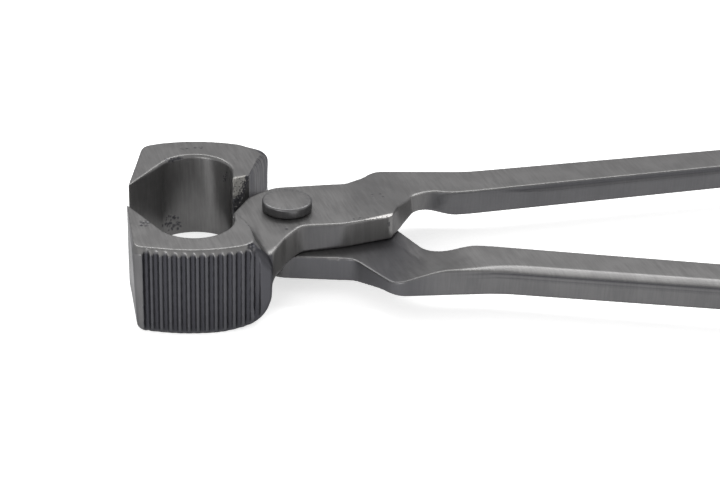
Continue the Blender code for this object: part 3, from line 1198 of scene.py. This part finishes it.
def spread(values: np.ndarray, pairs: np.ndarray) -> np.ndarray:
    """Sum over each vertex's neighbours.

    Args:
        values: one row for each vertex.
        pairs: the two vertices of each edge.

    Returns:
        One row of sums for each vertex.
    """
    total = np.zeros_like(values)
    for column in range(values.shape[1]):
        for a, b in ((0, 1), (1, 0)):
            total[:, column] += np.bincount(
                pairs[:, a], weights=values[pairs[:, b], column], minlength=len(values)
            )
    return total


def store(mesh: bpy.types.Mesh, mask: Mask, values: np.ndarray) -> None:
    """Keep a mask's number for each vertex as an attribute of the mesh."""
    attribute = mesh.attributes.new(mask.value, "FLOAT", "POINT")
    attribute.data.foreach_set("value", values.astype(np.float32))


class Bench:
    """The node tree of a material or a world, with short ways to add and join nodes."""

    def __init__(self, owner: bpy.types.Material | bpy.types.World, shader: str) -> None:
        """Open a node tree.

        Args:
            owner: the material or world.
            shader: name of the shader node that it starts with.
        """
        owner.use_nodes = True
        self.owner, self.tree = owner, owner.node_tree
        self.shader = self.tree.nodes[shader]

    def add(self, kind: str, **inputs: object) -> bpy.types.Node:
        """Add a node.

        Args:
            kind: the node's type without its ShaderNode prefix.
            inputs: property or socket values, a socket's name with _ for a space.

        Returns:
            The node.
        """
        node = self.tree.nodes.new("ShaderNode" + kind)
        for key, value in inputs.items():
            if hasattr(node, key):
                setattr(node, key, value)
            else:
                self.feed(node, key.replace("_", " "), value)
        return node

    def feed(self, node: bpy.types.Node, socket: str | int, value: object) -> None:
        """Give a socket a value or join another node's output to it.

        Args:
            node: the node that takes it.
            socket: name or number of its socket.
            value: a plain value or an output socket.
        """
        target = node.inputs[socket]
        if isinstance(value, bpy.types.NodeSocket):
            self.tree.links.new(value, target)
        else:
            target.default_value = value

    def math(
        self, operation: str, a: object, b: object = 0.0, c: object = 0.0
    ) -> bpy.types.NodeSocket:
        """Join two or three numbers.

        Args:
            operation: the Math node's operation.
            a: first value or socket.
            b: second value or socket.
            c: third value or socket, where the operation takes one.

        Returns:
            The result's socket.
        """
        node = self.add("Math", operation=operation)
        self.feed(node, 0, a)
        self.feed(node, 1, b)
        self.feed(node, 2, c)
        return node.outputs[0]

    def blend(self, share: object, a: object, b: object) -> bpy.types.NodeSocket:
        """Blend two colours.

        Args:
            share: share of b.
            a: first colour or socket.
            b: second colour or socket.

        Returns:
            The colour's socket.
        """
        node = self.add("Mix", data_type="RGBA")
        self.feed(node, 0, share)
        self.feed(node, 6, a)
        self.feed(node, 7, b)
        return node.outputs[2]

    def grain(self, coordinates: object, scale: float, detail: float = 3.0) -> bpy.types.NodeSocket:
        """Noise on given coordinates, with scale waves to the metre and detail octaves."""
        return self.add("TexNoise", Vector=coordinates, Scale=scale, Detail=detail).outputs["Fac"]

    def window(self, value: object, low: float, high: float) -> bpy.types.NodeSocket:
        """Stretch a range of values to 0 to 1.

        Args:
            value: the socket to read.
            low: value that becomes 0.
            high: value that becomes 1.

        Returns:
            The stretched value's socket.
        """
        node = self.add("MapRange", interpolation_type="SMOOTHSTEP")
        for index, part in enumerate((value, low, high)):
            self.feed(node, index, part)
        return node.outputs[0]

    def mask(self, mask: Mask, share: float = 1.0) -> bpy.types.NodeSocket:
        """A share of a mask painted on the mesh."""
        painted = self.add("Attribute", attribute_name=mask.value).outputs["Fac"]
        return self.math("MULTIPLY", painted, share)

    def seen_ray(self) -> bpy.types.NodeSocket:
        """1 for camera, gloss and transmission rays, 0 for the rays that light things."""
        path = self.add("LightPath").outputs
        seen = self.math("MAXIMUM", path["Is Camera Ray"], path["Is Glossy Ray"])
        return self.math("MAXIMUM", seen, path["Is Transmission Ray"])


@dataclass(frozen=True)
class GroundSteel:
    """Satin ground tool steel with painted shade in its hollows, creases and grooves and on its
    walls, painted sheen on its inner walls, and brighter on its rubbed edges.
    """

    name: str
    base: Point3 = (0.148, 0.146, 0.145)
    # dark: black of scale and pits, and the colour of painted shade in hollows, creases and on the
    # lap
    dark: Point3 = (0.029, 0.029, 0.035)
    # colour of the painted shade on the walls, the grooved face and the end wall
    shade_tone: Point3 = (0.060, 0.060, 0.067)
    bright: Point3 = (0.36, 0.35, 0.34)
    pale: Point3 = (0.36, 0.350, 0.328)
    edge_tint: Point3 = (0.30, 0.30, 0.31)
    roughness: float = 0.34
    roughness_swing: float = 0.14
    relief: float = 0.00005
    relief_strength: float = 0.20
    metal: float = 0.72
    scale_metal: float = 0.12
    variation: float = 0.10
    flank_shade_share: float = 1.0
    grip_shade_share: float = 0.92
    hollow_shade_share: float = 0.30
    stria_shade_share: float = 0.80
    wear_share: float = 0.05
    filed_and_sheen_share: float = 0.55
    scale_share: float = 0.80
    soot_and_shade_share: float = 0.80
    crust_share: float = 0.32
    line_turn: float = math.radians(12.0)
    line_stretch: float = 14.0
    tone_span: Point = (0.35, 0.65)
    stria_span: Point = (0.95, 0.25)
    patch_span: Point = (0.30, 0.75)
    crust_span: Point = (0.56, 0.80)
    line_waves: float = 1700.0
    cloud_waves: float = 110.0
    speck_waves: float = 1500.0

    def tone(
        self, bench: Bench, scratches: object, clouds: object, specks: object
    ) -> bpy.types.NodeSocket:
        """Colour of the steel with its painted zones, painted shade and sheen among them.

        Args:
            bench: the node tree.
            scratches: the grinding lines.
            clouds: the slow variation.
            specks: the fine grain.

        Returns:
            The colour's socket.
        """
        mixed = bench.math("MULTIPLY", bench.math("ADD", scratches, clouds), 0.5)
        low = [part * (1.0 - self.variation) for part in self.base]
        high = [part * (1.0 + self.variation) for part in self.base]
        colour = bench.blend(bench.window(mixed, *self.tone_span), (*low, 1.0), (*high, 1.0))
        # darkens the scored end wall: partly painted shade, partly the duller scored skin along the
        # grinding lines
        lines = bench.window(bench.mask(Mask.STRIA), *self.stria_span)
        patches = bench.window(clouds, *self.patch_span)
        crust = bench.math("MULTIPLY_ADD", bench.mask(Mask.CRUST), self.crust_share, specks)
        crust = bench.window(crust, *self.crust_span)
        crust = bench.blend(crust, (*self.dark, 1.0), (*self.pale, 1.0))
        rubbed = bench.math("MULTIPLY", bench.mask(Mask.EDGE_WEAR, self.wear_share), patches)
        # the flank, grip, hollow and end-wall coats are painted shade, soot is partly painted shade,
        # filed is partly painted sheen
        coats = (
            (bench.mask(Mask.FLANK_SHADE, self.flank_shade_share), (*self.shade_tone, 1.0)),
            (bench.mask(Mask.GRIP, self.grip_shade_share), (*self.shade_tone, 1.0)),
            (bench.mask(Mask.HOLLOW_SHADE, self.hollow_shade_share), (*self.dark, 1.0)),
            (bench.math("MULTIPLY", lines, self.stria_shade_share), (*self.shade_tone, 1.0)),
            (rubbed, (*self.bright, 1.0)),
            (bench.mask(Mask.FILED_AND_SHEEN, self.filed_and_sheen_share), (*self.bright, 1.0)),
            (bench.mask(Mask.SCALE, self.scale_share), crust),
            (bench.mask(Mask.SOOT_AND_SHADE, self.soot_and_shade_share), (*self.dark, 1.0)),
        )
        for share, coat in coats:
            colour = bench.blend(share, colour, coat)
        return colour

    def material(self) -> bpy.types.Material:
        """The finish as a node material.

        Returns:
            The material.
        """
        bench = Bench(bpy.data.materials.new(self.name), "Principled BSDF")
        place = bench.add("TexCoord").outputs["Object"]
        drawn = bench.add("Mapping", Vector=place, vector_type="TEXTURE")
        drawn.inputs["Rotation"].default_value = (0.0, 0.0, self.line_turn)
        drawn.inputs["Scale"].default_value = (1.0, self.line_stretch, self.line_stretch)
        scratches = bench.grain(drawn.outputs[0], self.line_waves, 4.0)
        clouds = bench.grain(place, self.cloud_waves, 5.0)
        specks = bench.grain(place, self.speck_waves, 2.0)
        loss = bench.mask(Mask.SCALE, self.scale_metal - self.metal)
        fine = bench.math("MULTIPLY", specks, 0.4)
        height = bench.math("MULTIPLY_ADD", scratches, 0.6, fine)
        relief = {"Strength": self.relief_strength, "Distance": self.relief, "Height": height}
        smooth = self.roughness - self.roughness_swing / 2
        inputs = {
            "Base Color": self.tone(bench, scratches, clouds, specks),
            "Metallic": bench.math("ADD", loss, self.metal),
            "Specular Tint": (*self.edge_tint, 1.0),
            "Specular IOR Level": 0.25,
            "Roughness": bench.math("MULTIPLY_ADD", scratches, self.roughness_swing, smooth),
            "Normal": bench.add("Bump", **relief).outputs[0],
        }
        for socket, value in inputs.items():
            bench.feed(bench.shader, socket, value)
        return bench.owner


def settle(
    item: bpy.types.Object, name: str, body: Body, finish: GroundSteel, node: str
) -> None:
    """Move a finished piece to the frame's pivot, dress it and hand it to its body.

    Args:
        item: the piece, modelled from the pivot.
        name: its name.
        body: the body it rides on.
        finish: its finish.
        node: the frame's node that it stands for.
    """
    item.name = name
    item.data.name = name
    item.data.transform(Matrix.Translation(PIVOT))
    item.data.materials.clear()
    item.data.materials.append(finish.material())
    focus(item)
    bpy.ops.object.shade_smooth()
    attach(item, body.value)
    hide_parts(node)
    LOG.info("%s: %d faces on %s", name, len(item.data.polygons), body.value)


@dataclass
class Rivet:
    """Headed pin through both plates, its tail peened to a low dome."""

    lap: LapJoint
    head_radius: float = 0.0080
    head_height: float = 0.0035
    head_rim: float = 0.0007
    head_foot: float = 0.0005
    tail_radius: float = 0.0074
    tail_height: float = 0.0024
    shank_radius: float = 0.0042
    seat_gap: float = 0.0003
    crown: float = 0.0002
    crown_steps: Point = (0.30, 0.00004)
    tail_fullness: float = 0.8
    side_shade: float = 0.35
    steps: int = 160
    rim_steps: int = 8
    foot_steps: int = 5
    tail_steps: int = 11

    def profile(self) -> list[Point]:
        """Half section as radius and height, from the head's centre to the tail's.

        Returns:
            The points of the half section.
        """
        base = self.lap.top + self.seat_gap
        top, rim, foot = base + self.head_height, self.head_rim, self.head_foot
        share, fall = self.crown_steps
        points = [(self.head_radius * share * i, top - fall * i * i) for i in range(1, 3)]
        for i in range(self.rim_steps + 1):
            turn = i * math.pi / (2 * self.rim_steps)
            radius = self.head_radius - rim * (1 - math.sin(turn))
            points.append((radius, top - self.crown - rim * (1 - math.cos(turn))))
        for i in range(self.foot_steps + 1):
            turn = i * math.pi / (2 * self.foot_steps)
            radius = self.head_radius - foot * (1 - math.cos(turn))
            points.append((radius, base + foot * (1 - math.sin(turn))))
        points += [(self.shank_radius, base), (self.shank_radius, -base)]
        for i in range(self.tail_steps + 1):
            turn = i * math.pi / (2 * self.tail_steps)
            radius = self.tail_radius * math.cos(turn) ** self.tail_fullness
            points.append((radius, -base - self.tail_height * math.sin(turn)))
        return points

    def build(self) -> bpy.types.Object:
        """The pin drawn out of a circle down its own axis, with its masks.

        Returns:
            The pin's object.
        """
        angles = [2 * math.pi * i / self.steps for i in range(self.steps)]
        rings = [
            [(radius * math.cos(a), radius * math.sin(a), z) for a in angles]
            for radius, z in self.profile()
        ]
        item = draw_out("rivet", rings)
        x, y, _ = read_places(item).T
        side = np.hypot(x, y) > self.head_radius - self.head_rim
        masks = {mask: np.zeros(len(x)) for mask in Mask}
        # painted shade on the side of the rivet head
        masks[Mask.FLANK_SHADE] = side * self.side_shade
        masks[Mask.STRIA] = np.ones(len(x))
        for mask, values in masks.items():
            store(item.data, mask, values)
        return item


@dataclass(frozen=True)
class Lamp:
    """A soft box that looks at the pivot."""

    name: str
    place: Point3
    size: Point
    power: float

    def build(self) -> None:
        """The lamp hung in its place, which is measured from the pivot."""
        light = bpy.data.lights.new(self.name, "AREA")
        light.shape, light.energy = "RECTANGLE", self.power
        light.size, light.size_y = self.size
        lamp = bpy.data.objects.new(self.name, light)
        bpy.context.scene.collection.objects.link(lamp)
        lamp.location = PIVOT + Vector(self.place)
        lamp.rotation_mode = "QUATERNION"
        lamp.rotation_quaternion = Vector(self.place).to_track_quat("Z", "Y")


@dataclass
class Studio:
    """Pale floor, soft light and the photograph's camera."""

    focal: float = 1575.6
    image_width: float = 720.0
    sensor: float = 36.0
    pitch: float = math.radians(27.667)
    yaw: float = math.radians(6.799)
    roll: float = math.radians(2.476)
    stand: Vector = field(default_factory=lambda: Vector((-0.15695, -0.45203, 0.24903)))
    floor_size: float = 12.0
    floor_tone: float = 0.8
    floor_roughness: float = 0.9
    floor_glow: float = 0.62
    sky_level: float = 0.70
    lamps: tuple[Lamp, ...] = (
        Lamp("top_box", (0.05, 0.62, 0.88), (1.7, 0.30), 11.5),
        Lamp("front_box", (-0.55, -0.80, 0.20), (0.5, 0.5), 4.0),
    )

    def camera(self) -> None:
        """The camera at the photograph's viewing angle."""
        lens = bpy.data.cameras.new("photo_camera")
        camera = bpy.data.objects.new("photo_camera", lens)
        bpy.context.scene.collection.objects.link(camera)
        flat = math.cos(self.pitch)
        ahead = Vector((math.sin(self.yaw) * flat, math.cos(self.yaw) * flat, -math.sin(self.pitch)))
        right = Vector((math.cos(self.yaw), -math.sin(self.yaw), 0.0))
        up = right.cross(ahead)
        tilted_right = math.cos(self.roll) * right + math.sin(self.roll) * up
        tilted_up = math.cos(self.roll) * up - math.sin(self.roll) * right
        matrix = Matrix((tilted_right, tilted_up, -ahead)).transposed().to_4x4()
        matrix.translation = self.stand
        camera.matrix_world = matrix
        lens.sensor_width = self.sensor
        lens.lens = self.focal / self.image_width * self.sensor
        lens.clip_start, lens.clip_end = 0.01, 40.0
        bpy.context.scene.camera = camera

    def floor(self) -> None:
        """A pale floor that keeps the tool's shadow."""
        bpy.ops.object.select_all(action="DESELECT")
        bpy.ops.mesh.primitive_plane_add(size=self.floor_size, location=(0.0, 0.0, 0.0))
        floor = bpy.context.object
        floor.name = "floor"
        bench = Bench(bpy.data.materials.new("pale_floor"), "Principled BSDF")
        bench.feed(bench.shader, "Base Color", (self.floor_tone,) * 3 + (1.0,))
        bench.feed(bench.shader, "Roughness", self.floor_roughness)
        bench.feed(bench.shader, "Specular IOR Level", 0.0)
        glow = bench.add("Emission", Color=(1.0, 1.0, 1.0, 1.0))
        bench.feed(glow, "Strength", bench.math("MULTIPLY", bench.seen_ray(), self.floor_glow))
        both = bench.add("AddShader")
        bench.feed(both, 0, bench.shader.outputs[0])
        bench.feed(both, 1, glow.outputs[0])
        bench.feed(bench.tree.nodes["Material Output"], "Surface", both.outputs[0])
        floor.data.materials.append(bench.owner)

    def sky(self) -> None:
        """White surroundings that light the tool softly."""
        bpy.context.scene.world = bpy.data.worlds.new("studio")
        bench = Bench(bpy.context.scene.world, "Background")
        extra = bench.math("MULTIPLY", bench.seen_ray(), 1.0 - self.sky_level)
        bench.feed(bench.shader, "Strength", bench.math("ADD", extra, self.sky_level))
        bench.feed(bench.shader, "Color", (1.0, 1.0, 1.0, 1.0))

    def build(self) -> None:
        """Floor, surroundings, lamps, camera and view settings."""
        self.floor()
        self.sky()
        for lamp in self.lamps:
            lamp.build()
        self.camera()
        bpy.context.scene.view_settings.view_transform = "Standard"


LOWER_JAW = JawBlock(
    LapJoint(),
    spread=0.0410,
    throat_depth=0.0110,
    throat_draft=0.0016,
    low_corner=(-0.0036, -0.0356),
    foot_corner=(-0.0080, -0.0316),
    foot_corner_round=0.0100,
    foot_height=0.0045,
    foot_face_end=-0.0150,
)
UPPER_PITS = (
    PitField((-0.0448, -0.0200, 0.01375), (0.0012, 0.0020, 0.0002), 22, 3),
    PitField((-0.0009, -0.0139, 0.0081), (0.0001, 0.0001, 0.0001), 1, 5, 0.0009),
    PitField((0.0245, -0.0072, 0.0081), (0.0040, 0.0012, 0.0001), 7, 7, 0.0005),
    PitField((0.0310, 0.0125, 0.0070), (0.0020, 0.0020, 0.0006), 4, 9, 0.0005),
    PitField((-0.0134, -0.0210, 0.01375), (0.0010, 0.0015, 0.0003), 4, 15, 0.0005),
    PitField((0.0330, -0.0062, 0.0052), (0.0001, 0.0001, 0.0006), 2, 19, 0.0007),
    PitField((-0.0128, -0.0345, 0.0129), (0.0010, 0.0020, 0.0006), 14, 23, 0.0007),
)
LOWER_PITS = (
    PitField((-0.0305, -0.0355, -0.01375), (0.0040, 0.0010, 0.0002), 10, 11),
    PitField((-0.0360, -0.0270, -0.0136), (0.0035, 0.0010, 0.0006), 24, 13),
    PitField((-0.0375, -0.0250, 0.0095), (0.0040, 0.0030, 0.0030), 36, 17),
    PitField((-0.0195, -0.0235, -0.0090), (0.0008, 0.0010, 0.0025), 10, 21, 0.0005),
)
UPPER_FLATS = (
    FiledFlat((0.0280, -0.0063, 0.0080), (0.127, -0.233, 0.964), 0.0080),
    FiledFlat((0.03345, -0.0052, 0.0042), (0.60, -0.80, 0.125), 0.0055, 0.0),
)
LOWER_FLATS = (FiledFlat((0.0120, 0.01788, 0.00035), (0.0, 0.70, -0.70), 0.0034, 0.5),)
# share of painted shade on the lower half's upright walls, along the tool
LOWER_FLANK_SHADE = ((-0.006, 0.0), (0.002, 0.75), (0.036, 0.75), (0.046, 0.40))


def main() -> None:
    """Build each piece in order and set the scene."""
    logging.basicConfig(level=logging.INFO, format="%(message)s")
    lap = LapJoint()
    finish = GroundSteel("upper_ground_steel")
    upper = Forging(JawBlock(lap), UPPER_PITS, UPPER_FLATS).build()
    settle(upper, "upper_half", Body.UPPER, finish, "upper_tong_half")
    finish = GroundSteel("lower_ground_steel")
    lower = Forging(LOWER_JAW, LOWER_PITS, LOWER_FLATS, flank_shade_tone=LOWER_FLANK_SHADE).build()
    lower.data.transform(Matrix.Rotation(math.pi, 4, "X"))
    settle(lower, "lower_half", Body.LOWER, finish, "lower_tong_half")
    finish = GroundSteel("turned_steel")
    settle(Rivet(lap).build(), "rivet", Body.LOWER, finish, "pivot_rivet")
    Studio().build()


if __name__ == "__main__":
    main()
